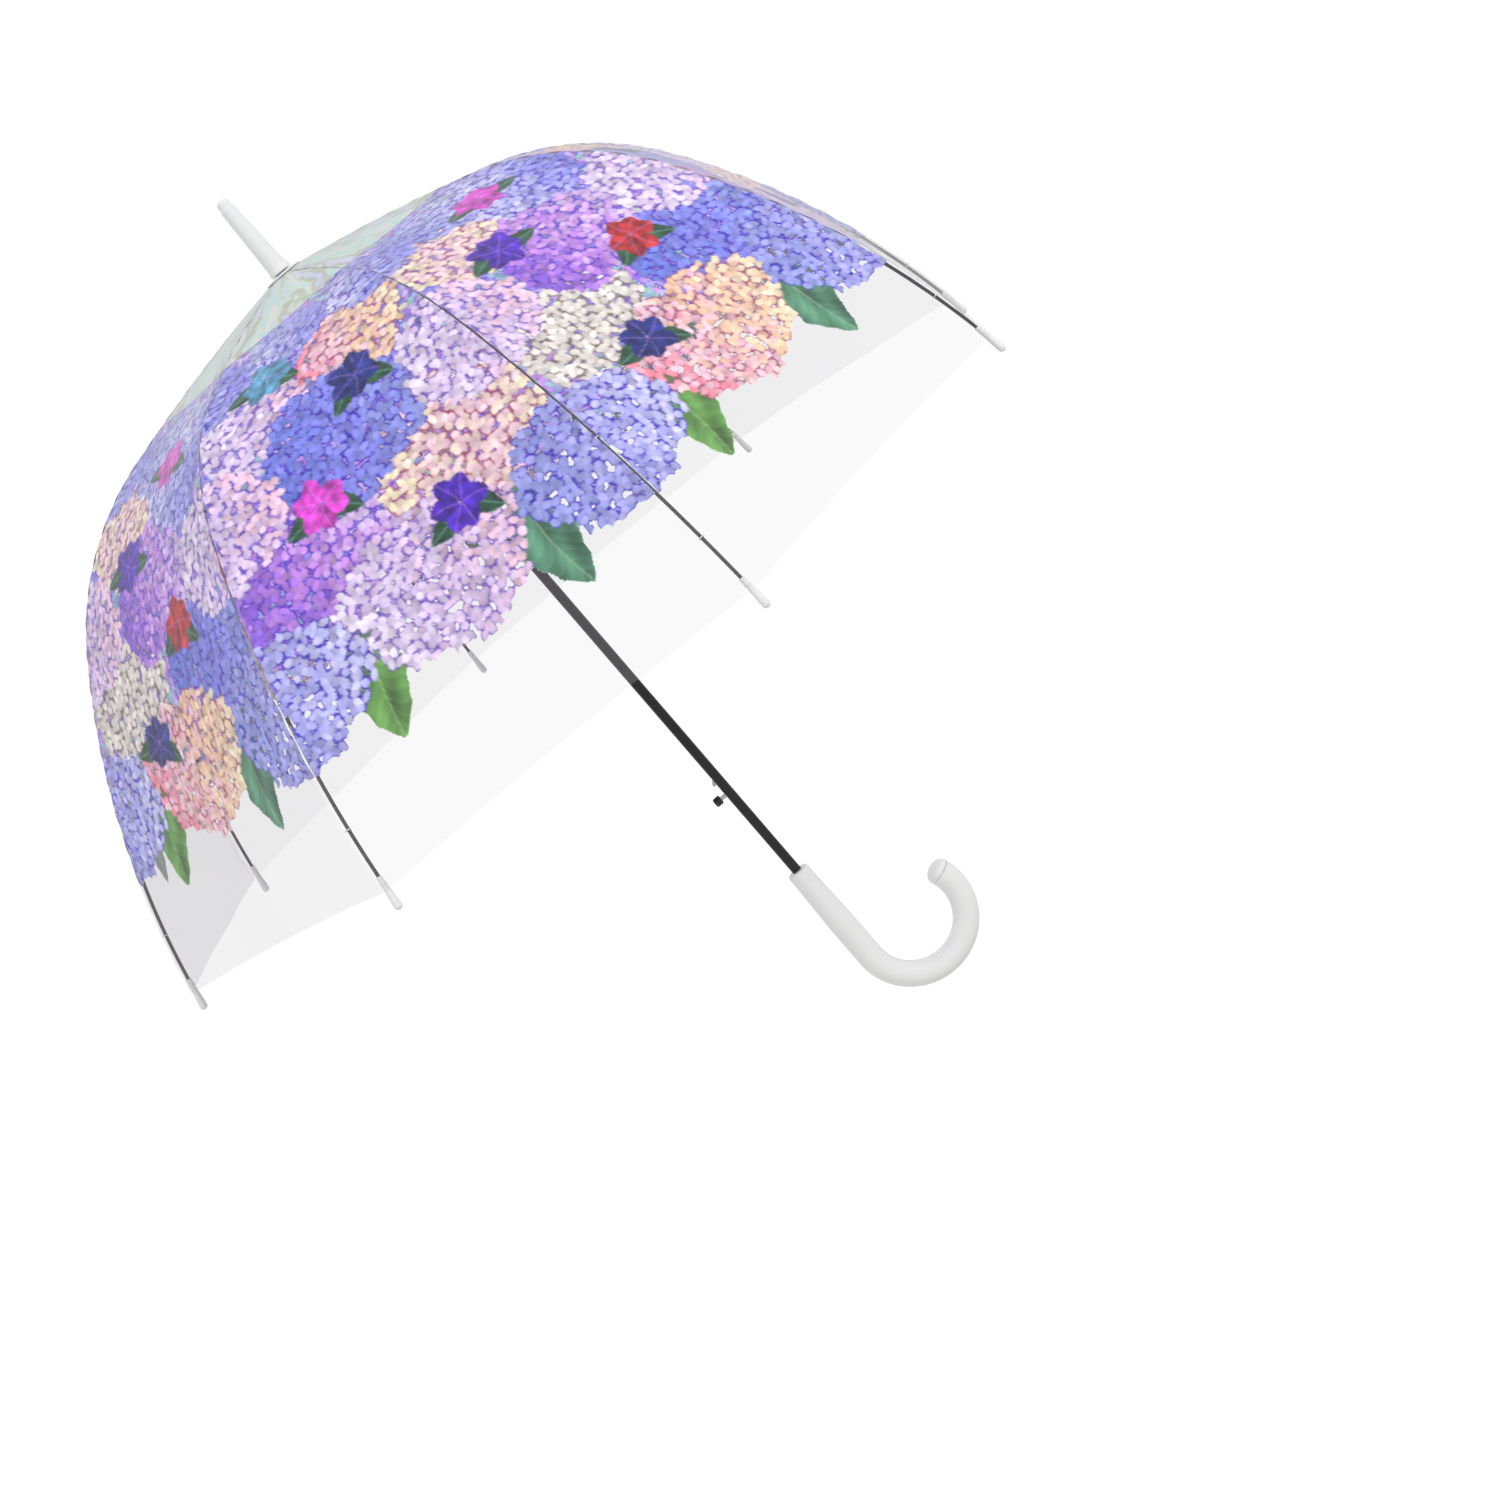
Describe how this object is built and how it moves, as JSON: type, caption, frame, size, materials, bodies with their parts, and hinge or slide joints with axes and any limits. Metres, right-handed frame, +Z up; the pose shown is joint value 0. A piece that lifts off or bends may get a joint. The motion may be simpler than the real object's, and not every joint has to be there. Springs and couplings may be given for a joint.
{
  "type": "dome umbrella",
  "caption": "Clear plastic dome umbrella, open, with a flower print above a clear band, black ribs and shaft, white caps, tapered white ferrule and a white crook handle",
  "frame": {"origin": "middle of the straight grip, on the shaft's axis", "axes": "+Z up along the shaft to the ferrule, +X to the side that the hook opens to"},
  "size_m": [0.803, 0.803, 0.8268],
  "materials": {
    "clear_film": "clear soft PVC film, glossy",
    "black_steel": "black coated steel, satin",
    "wire_steel": "plain spring steel",
    "handle_white": "white gloss plastic",
    "fitting_white": "white translucent plastic",
    "hub_black": "black moulded plastic"
  },
  "bodies": {
    "frame": {"shaft_tube": "black_steel", "handle_grip": "handle_white", "handle_end_cap": "handle_white", "ferrule": "fitting_white", "crown_washer": "fitting_white", "inner_washer": "fitting_white", "top_notch": "hub_black", "notch_ring": "wire_steel", "open_spring": "wire_steel", "stop_pin": "wire_steel", "catch_spring": "wire_steel"},
    "slider": {"runner": "hub_black", "runner_ring": "wire_steel"},
    "catch": {"catch_lever": "wire_steel", "button_cap": "hub_black"},
    "rib_swing_1": {"rib_1": "black_steel"},
    "rib_bend_1": {"rib_cap_1": "fitting_white"},
    "stretcher_swing_1": {"stretcher_1": "black_steel"},
    "gore_swing_1": {"gore_1": "clear_film"},
    "skirt_swing_1": {"skirt_1": "clear_film"},
    "rib_swing_2": {"rib_2": "black_steel"},
    "rib_bend_2": {"rib_cap_2": "fitting_white"},
    "stretcher_swing_2": {"stretcher_2": "black_steel"},
    "gore_swing_2": {"gore_2": "clear_film"},
    "skirt_swing_2": {"skirt_2": "clear_film"},
    "rib_swing_3": {"rib_3": "black_steel"},
    "rib_bend_3": {"rib_cap_3": "fitting_white"},
    "stretcher_swing_3": {"stretcher_3": "black_steel"},
    "gore_swing_3": {"gore_3": "clear_film"},
    "skirt_swing_3": {"skirt_3": "clear_film"},
    "rib_swing_4": {"rib_4": "black_steel"},
    "rib_bend_4": {"rib_cap_4": "fitting_white"},
    "stretcher_swing_4": {"stretcher_4": "black_steel"},
    "gore_swing_4": {"gore_4": "clear_film"},
    "skirt_swing_4": {"skirt_4": "clear_film"},
    "rib_swing_5": {"rib_5": "black_steel"},
    "rib_bend_5": {"rib_cap_5": "fitting_white"},
    "stretcher_swing_5": {"stretcher_5": "black_steel"},
    "gore_swing_5": {"gore_5": "clear_film"},
    "skirt_swing_5": {"skirt_5": "clear_film"},
    "rib_swing_6": {"rib_6": "black_steel"},
    "rib_bend_6": {"rib_cap_6": "fitting_white"},
    "stretcher_swing_6": {"stretcher_6": "black_steel"},
    "gore_swing_6": {"gore_6": "clear_film"},
    "skirt_swing_6": {"skirt_6": "clear_film"},
    "rib_swing_7": {"rib_7": "black_steel"},
    "rib_bend_7": {"rib_cap_7": "fitting_white"},
    "stretcher_swing_7": {"stretcher_7": "black_steel"},
    "gore_swing_7": {"gore_7": "clear_film"},
    "skirt_swing_7": {"skirt_7": "clear_film"},
    "rib_swing_8": {"rib_8": "black_steel"},
    "rib_bend_8": {"rib_cap_8": "fitting_white"},
    "stretcher_swing_8": {"stretcher_8": "black_steel"},
    "gore_swing_8": {"gore_8": "clear_film"},
    "skirt_swing_8": {"skirt_8": "clear_film"}
  },
  "joints": [
    {"name": "runner_slide", "type": "slide", "parent": "frame", "child": "slider", "axis": [0, 0, 1], "range_m": [-0.308, 0], "stiffness_N_per_m": 40, "springref_m": 0.25, "deforming": ["open_spring", "rib_1", "gore_1", "skirt_1", "rib_2", "gore_2", "skirt_2", "rib_3", "gore_3", "skirt_3", "rib_4", "gore_4", "skirt_4", "rib_5", "gore_5", "skirt_5", "rib_6", "gore_6", "skirt_6", "rib_7", "gore_7", "skirt_7", "rib_8", "gore_8", "skirt_8"]},
    {"name": "catch_press", "type": "slide", "parent": "frame", "child": "catch", "axis": [1, 0, 0], "range_m": [0, 0.003], "stiffness_N_per_m": 600, "springref_m": -0.003, "deforming": ["catch_spring"]},
    {"name": "rib_hinge_1", "type": "hinge", "parent": "frame", "child": "rib_swing_1", "pos_m": [0.00826, 0.00214, 0.65003], "axis": [-0.2504, 0.9681, 0], "range_deg": [0, 69.63]},
    {"name": "rib_flex_1", "type": "hinge", "parent": "rib_swing_1", "child": "rib_bend_1", "pos_m": [0.25988, 0.06721, 0.56743], "axis": [-0.2504, 0.9681, 0], "range_deg": [-41.3, 0]},
    {"name": "stretcher_hinge_1", "type": "hinge", "parent": "slider", "child": "stretcher_swing_1", "pos_m": [0.00826, 0.00214, 0.487], "axis": [0.2504, -0.9681, 0], "range_deg": [0, 60.03]},
    {"name": "gore_fold_1", "type": "hinge", "parent": "frame", "child": "gore_swing_1", "pos_m": [0.00559, 0.00421, 0.6558], "axis": [-0.6018, 0.7986, 0], "range_deg": [0, 67.8]},
    {"name": "skirt_fold_1", "type": "hinge", "parent": "gore_swing_1", "child": "skirt_swing_1", "pos_m": [0.19953, 0.15035, 0.56968], "axis": [-0.6018, 0.7986, 0], "range_deg": [-40.3, 0]},
    {"name": "rib_hinge_2", "type": "hinge", "parent": "frame", "child": "rib_swing_2", "pos_m": [0.00433, 0.00735, 0.65003], "axis": [-0.8616, 0.5075, 0], "range_deg": [0, 69.63]},
    {"name": "rib_flex_2", "type": "hinge", "parent": "rib_swing_2", "child": "rib_bend_2", "pos_m": [0.13624, 0.23129, 0.56743], "axis": [-0.8616, 0.5075, 0], "range_deg": [-41.3, 0]},
    {"name": "stretcher_hinge_2", "type": "hinge", "parent": "slider", "child": "stretcher_swing_2", "pos_m": [0.00433, 0.00735, 0.487], "axis": [0.8616, -0.5075, 0], "range_deg": [0, 60.03]},
    {"name": "gore_fold_2", "type": "hinge", "parent": "frame", "child": "gore_swing_2", "pos_m": [0.00097, 0.00693, 0.6558], "axis": [-0.9903, 0.1392, 0], "range_deg": [0, 67.8]},
    {"name": "skirt_fold_2", "type": "hinge", "parent": "gore_swing_2", "child": "skirt_swing_2", "pos_m": [0.03477, 0.2474, 0.56968], "axis": [-0.9903, 0.1392, 0], "range_deg": [-40.3, 0]},
    {"name": "rib_hinge_3", "type": "hinge", "parent": "frame", "child": "rib_swing_3", "pos_m": [-0.00214, 0.00826, 0.65003], "axis": [-0.9681, -0.2504, 0], "range_deg": [0, 69.63]},
    {"name": "rib_flex_3", "type": "hinge", "parent": "rib_swing_3", "child": "rib_bend_3", "pos_m": [-0.06721, 0.25988, 0.56743], "axis": [-0.9681, -0.2504, 0], "range_deg": [-41.3, 0]},
    {"name": "stretcher_hinge_3", "type": "hinge", "parent": "slider", "child": "stretcher_swing_3", "pos_m": [-0.00214, 0.00826, 0.487], "axis": [0.9681, 0.2504, 0], "range_deg": [0, 60.03]},
    {"name": "gore_fold_3", "type": "hinge", "parent": "frame", "child": "gore_swing_3", "pos_m": [-0.00421, 0.00559, 0.6558], "axis": [-0.7986, -0.6018, 0], "range_deg": [0, 67.8]},
    {"name": "skirt_fold_3", "type": "hinge", "parent": "gore_swing_3", "child": "skirt_swing_3", "pos_m": [-0.15035, 0.19953, 0.56968], "axis": [-0.7986, -0.6018, 0], "range_deg": [-40.3, 0]},
    {"name": "rib_hinge_4", "type": "hinge", "parent": "frame", "child": "rib_swing_4", "pos_m": [-0.00735, 0.00433, 0.65003], "axis": [-0.5075, -0.8616, 0], "range_deg": [0, 69.63]},
    {"name": "rib_flex_4", "type": "hinge", "parent": "rib_swing_4", "child": "rib_bend_4", "pos_m": [-0.23129, 0.13624, 0.56743], "axis": [-0.5075, -0.8616, 0], "range_deg": [-41.3, 0]},
    {"name": "stretcher_hinge_4", "type": "hinge", "parent": "slider", "child": "stretcher_swing_4", "pos_m": [-0.00735, 0.00433, 0.487], "axis": [0.5075, 0.8616, 0], "range_deg": [0, 60.03]},
    {"name": "gore_fold_4", "type": "hinge", "parent": "frame", "child": "gore_swing_4", "pos_m": [-0.00693, 0.00097, 0.6558], "axis": [-0.1392, -0.9903, 0], "range_deg": [0, 67.8]},
    {"name": "skirt_fold_4", "type": "hinge", "parent": "gore_swing_4", "child": "skirt_swing_4", "pos_m": [-0.2474, 0.03477, 0.56968], "axis": [-0.1392, -0.9903, 0], "range_deg": [-40.3, 0]},
    {"name": "rib_hinge_5", "type": "hinge", "parent": "frame", "child": "rib_swing_5", "pos_m": [-0.00826, -0.00214, 0.65003], "axis": [0.2504, -0.9681, 0], "range_deg": [0, 69.63]},
    {"name": "rib_flex_5", "type": "hinge", "parent": "rib_swing_5", "child": "rib_bend_5", "pos_m": [-0.25988, -0.06721, 0.56743], "axis": [0.2504, -0.9681, 0], "range_deg": [-41.3, 0]},
    {"name": "stretcher_hinge_5", "type": "hinge", "parent": "slider", "child": "stretcher_swing_5", "pos_m": [-0.00826, -0.00214, 0.487], "axis": [-0.2504, 0.9681, 0], "range_deg": [0, 60.03]},
    {"name": "gore_fold_5", "type": "hinge", "parent": "frame", "child": "gore_swing_5", "pos_m": [-0.00559, -0.00421, 0.6558], "axis": [0.6018, -0.7986, 0], "range_deg": [0, 67.8]},
    {"name": "skirt_fold_5", "type": "hinge", "parent": "gore_swing_5", "child": "skirt_swing_5", "pos_m": [-0.19953, -0.15035, 0.56968], "axis": [0.6018, -0.7986, 0], "range_deg": [-40.3, 0]},
    {"name": "rib_hinge_6", "type": "hinge", "parent": "frame", "child": "rib_swing_6", "pos_m": [-0.00433, -0.00735, 0.65003], "axis": [0.8616, -0.5075, 0], "range_deg": [0, 69.63]},
    {"name": "rib_flex_6", "type": "hinge", "parent": "rib_swing_6", "child": "rib_bend_6", "pos_m": [-0.13624, -0.23129, 0.56743], "axis": [0.8616, -0.5075, 0], "range_deg": [-41.3, 0]},
    {"name": "stretcher_hinge_6", "type": "hinge", "parent": "slider", "child": "stretcher_swing_6", "pos_m": [-0.00433, -0.00735, 0.487], "axis": [-0.8616, 0.5075, 0], "range_deg": [0, 60.03]},
    {"name": "gore_fold_6", "type": "hinge", "parent": "frame", "child": "gore_swing_6", "pos_m": [-0.00097, -0.00693, 0.6558], "axis": [0.9903, -0.1392, 0], "range_deg": [0, 67.8]},
    {"name": "skirt_fold_6", "type": "hinge", "parent": "gore_swing_6", "child": "skirt_swing_6", "pos_m": [-0.03477, -0.2474, 0.56968], "axis": [0.9903, -0.1392, 0], "range_deg": [-40.3, 0]},
    {"name": "rib_hinge_7", "type": "hinge", "parent": "frame", "child": "rib_swing_7", "pos_m": [0.00214, -0.00826, 0.65003], "axis": [0.9681, 0.2504, 0], "range_deg": [0, 69.63]},
    {"name": "rib_flex_7", "type": "hinge", "parent": "rib_swing_7", "child": "rib_bend_7", "pos_m": [0.06721, -0.25988, 0.56743], "axis": [0.9681, 0.2504, 0], "range_deg": [-41.3, 0]},
    {"name": "stretcher_hinge_7", "type": "hinge", "parent": "slider", "child": "stretcher_swing_7", "pos_m": [0.00214, -0.00826, 0.487], "axis": [-0.9681, -0.2504, 0], "range_deg": [0, 60.03]},
    {"name": "gore_fold_7", "type": "hinge", "parent": "frame", "child": "gore_swing_7", "pos_m": [0.00421, -0.00559, 0.6558], "axis": [0.7986, 0.6018, 0], "range_deg": [0, 67.8]},
    {"name": "skirt_fold_7", "type": "hinge", "parent": "gore_swing_7", "child": "skirt_swing_7", "pos_m": [0.15035, -0.19953, 0.56968], "axis": [0.7986, 0.6018, 0], "range_deg": [-40.3, 0]},
    {"name": "rib_hinge_8", "type": "hinge", "parent": "frame", "child": "rib_swing_8", "pos_m": [0.00735, -0.00433, 0.65003], "axis": [0.5075, 0.8616, 0], "range_deg": [0, 69.63]},
    {"name": "rib_flex_8", "type": "hinge", "parent": "rib_swing_8", "child": "rib_bend_8", "pos_m": [0.23129, -0.13624, 0.56743], "axis": [0.5075, 0.8616, 0], "range_deg": [-41.3, 0]},
    {"name": "stretcher_hinge_8", "type": "hinge", "parent": "slider", "child": "stretcher_swing_8", "pos_m": [0.00735, -0.00433, 0.487], "axis": [-0.5075, -0.8616, 0], "range_deg": [0, 60.03]},
    {"name": "gore_fold_8", "type": "hinge", "parent": "frame", "child": "gore_swing_8", "pos_m": [0.00693, -0.00097, 0.6558], "axis": [0.1392, 0.9903, 0], "range_deg": [0, 67.8]},
    {"name": "skirt_fold_8", "type": "hinge", "parent": "gore_swing_8", "child": "skirt_swing_8", "pos_m": [0.2474, -0.03477, 0.56968], "axis": [0.1392, 0.9903, 0], "range_deg": [-40.3, 0]}
  ],
  "couplings": [
    {"joint": "rib_hinge_1", "follows": "runner_slide", "rad_per_m": -3.9287},
    {"joint": "rib_flex_1", "follows": "runner_slide", "rad_per_m": 2.3233},
    {"joint": "stretcher_hinge_1", "follows": "runner_slide", "rad_per_m": -3.3848},
    {"joint": "gore_fold_1", "follows": "runner_slide", "rad_per_m": -3.825},
    {"joint": "skirt_fold_1", "follows": "runner_slide", "rad_per_m": 2.2667},
    {"joint": "rib_hinge_2", "follows": "runner_slide", "rad_per_m": -3.9287},
    {"joint": "rib_flex_2", "follows": "runner_slide", "rad_per_m": 2.3233},
    {"joint": "stretcher_hinge_2", "follows": "runner_slide", "rad_per_m": -3.3848},
    {"joint": "gore_fold_2", "follows": "runner_slide", "rad_per_m": -3.825},
    {"joint": "skirt_fold_2", "follows": "runner_slide", "rad_per_m": 2.2667},
    {"joint": "rib_hinge_3", "follows": "runner_slide", "rad_per_m": -3.9287},
    {"joint": "rib_flex_3", "follows": "runner_slide", "rad_per_m": 2.3233},
    {"joint": "stretcher_hinge_3", "follows": "runner_slide", "rad_per_m": -3.3848},
    {"joint": "gore_fold_3", "follows": "runner_slide", "rad_per_m": -3.825},
    {"joint": "skirt_fold_3", "follows": "runner_slide", "rad_per_m": 2.2667},
    {"joint": "rib_hinge_4", "follows": "runner_slide", "rad_per_m": -3.9287},
    {"joint": "rib_flex_4", "follows": "runner_slide", "rad_per_m": 2.3233},
    {"joint": "stretcher_hinge_4", "follows": "runner_slide", "rad_per_m": -3.3848},
    {"joint": "gore_fold_4", "follows": "runner_slide", "rad_per_m": -3.825},
    {"joint": "skirt_fold_4", "follows": "runner_slide", "rad_per_m": 2.2667},
    {"joint": "rib_hinge_5", "follows": "runner_slide", "rad_per_m": -3.9287},
    {"joint": "rib_flex_5", "follows": "runner_slide", "rad_per_m": 2.3233},
    {"joint": "stretcher_hinge_5", "follows": "runner_slide", "rad_per_m": -3.3848},
    {"joint": "gore_fold_5", "follows": "runner_slide", "rad_per_m": -3.825},
    {"joint": "skirt_fold_5", "follows": "runner_slide", "rad_per_m": 2.2667},
    {"joint": "rib_hinge_6", "follows": "runner_slide", "rad_per_m": -3.9287},
    {"joint": "rib_flex_6", "follows": "runner_slide", "rad_per_m": 2.3233},
    {"joint": "stretcher_hinge_6", "follows": "runner_slide", "rad_per_m": -3.3848},
    {"joint": "gore_fold_6", "follows": "runner_slide", "rad_per_m": -3.825},
    {"joint": "skirt_fold_6", "follows": "runner_slide", "rad_per_m": 2.2667},
    {"joint": "rib_hinge_7", "follows": "runner_slide", "rad_per_m": -3.9287},
    {"joint": "rib_flex_7", "follows": "runner_slide", "rad_per_m": 2.3233},
    {"joint": "stretcher_hinge_7", "follows": "runner_slide", "rad_per_m": -3.3848},
    {"joint": "gore_fold_7", "follows": "runner_slide", "rad_per_m": -3.825},
    {"joint": "skirt_fold_7", "follows": "runner_slide", "rad_per_m": 2.2667},
    {"joint": "rib_hinge_8", "follows": "runner_slide", "rad_per_m": -3.9287},
    {"joint": "rib_flex_8", "follows": "runner_slide", "rad_per_m": 2.3233},
    {"joint": "stretcher_hinge_8", "follows": "runner_slide", "rad_per_m": -3.3848},
    {"joint": "gore_fold_8", "follows": "runner_slide", "rad_per_m": -3.825},
    {"joint": "skirt_fold_8", "follows": "runner_slide", "rad_per_m": 2.2667}
  ]
}
